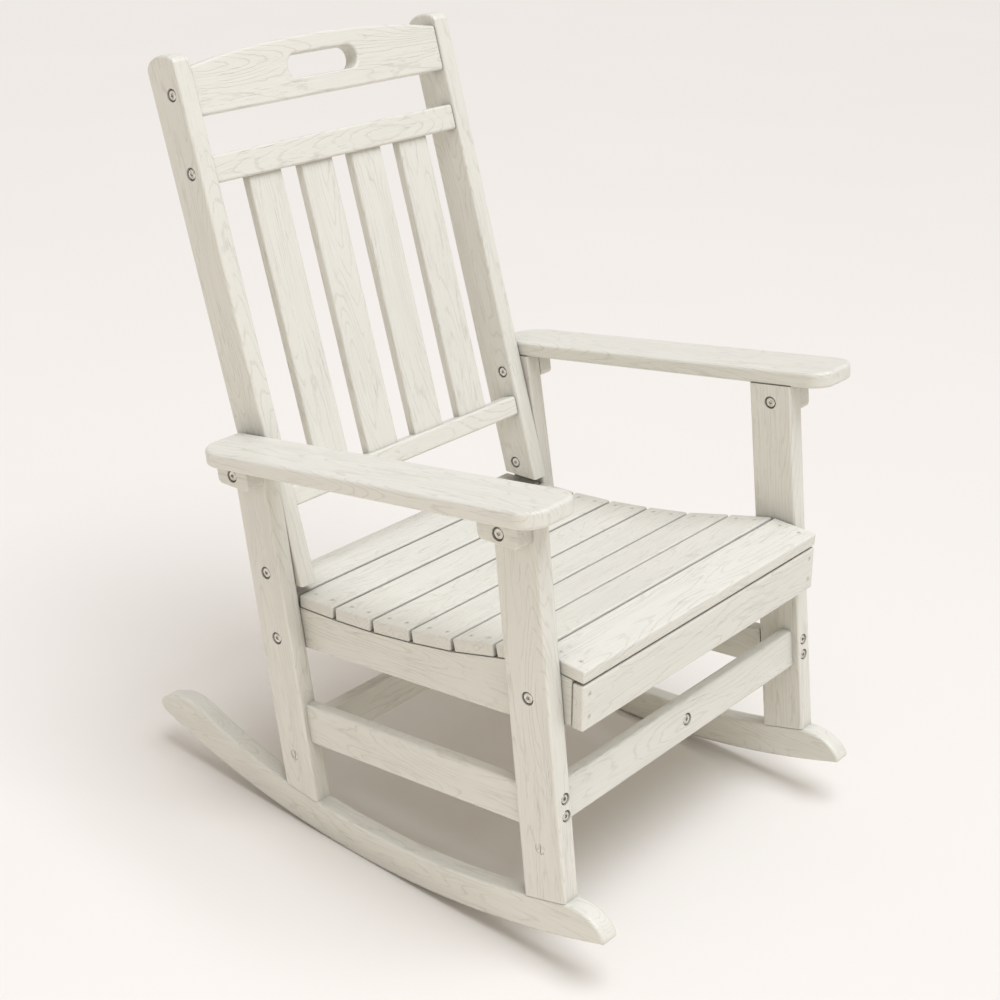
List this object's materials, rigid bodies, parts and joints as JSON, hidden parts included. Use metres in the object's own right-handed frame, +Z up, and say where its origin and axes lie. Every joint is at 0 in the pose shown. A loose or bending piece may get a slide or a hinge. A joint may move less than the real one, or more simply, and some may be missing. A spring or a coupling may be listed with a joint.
{
  "type": "rocking adirondack chair",
  "caption": "Outdoor rocking armchair in ivory plastic lumber: slatted contoured seat, tall slatted back with a hand slot in its crest, broad arms and curved rockers.",
  "frame": {"origin": "on the floor, under the middle of the chair's depth and width, at the height of the line where the empty chair's rockers touch", "axes": "+X to the sitter's left, +Y from the front edge of the seat to the back, +Z up"},
  "size_m": [0.7332, 0.8619, 1.068],
  "materials": {
    "plastic_lumber": "satin",
    "stainless_steel": "satin",
    "colour_matched_screw": "satin",
    "nylon_dowel": "matte"
  },
  "bodies": {
    "root": {"apron_screws": "colour_matched_screw", "arm_block_bolts": "stainless_steel", "arm_block_front_left": "plastic_lumber", "arm_block_front_right": "plastic_lumber", "arm_block_rear_left": "plastic_lumber", "arm_block_rear_right": "plastic_lumber", "arm_left": "plastic_lumber", "arm_right": "plastic_lumber", "arm_screws": "stainless_steel", "back_bolts": "stainless_steel", "back_slat_1": "plastic_lumber", "back_slat_2": "plastic_lumber", "back_slat_3": "plastic_lumber", "back_slat_4": "plastic_lumber", "back_stile_left": "plastic_lumber", "back_stile_right": "plastic_lumber", "barrel_nuts": "stainless_steel", "cap_nuts": "stainless_steel", "crest_rail": "plastic_lumber", "front_leg_left": "plastic_lumber", "front_leg_right": "plastic_lumber", "front_stretcher": "plastic_lumber", "front_stretcher_bolt": "stainless_steel", "front_stretcher_nut": "stainless_steel", "leg_bolts": "stainless_steel", "lower_back_rail": "plastic_lumber", "lower_back_rail_screws": "stainless_steel", "rear_leg_left": "plastic_lumber", "rear_leg_right": "plastic_lumber", "rear_stretcher": "plastic_lumber", "rocker_bolts": "stainless_steel", "rocker_left": "plastic_lumber", "rocker_right": "plastic_lumber", "seat_apron": "plastic_lumber", "seat_rail_left": "plastic_lumber", "seat_rail_right": "plastic_lumber", "seat_slat_1": "plastic_lumber", "seat_slat_2": "plastic_lumber", "seat_slat_3": "plastic_lumber", "seat_slat_4": "plastic_lumber", "seat_slat_5": "plastic_lumber", "seat_slat_6": "plastic_lumber", "seat_slat_7": "plastic_lumber", "seat_slat_8": "plastic_lumber", "seat_slat_screws": "colour_matched_screw", "side_stretcher_bolts": "stainless_steel", "side_stretcher_left": "plastic_lumber", "side_stretcher_right": "plastic_lumber", "stretcher_dowels": "nylon_dowel", "upper_back_rail": "plastic_lumber"}
  },
  "joints": []
}
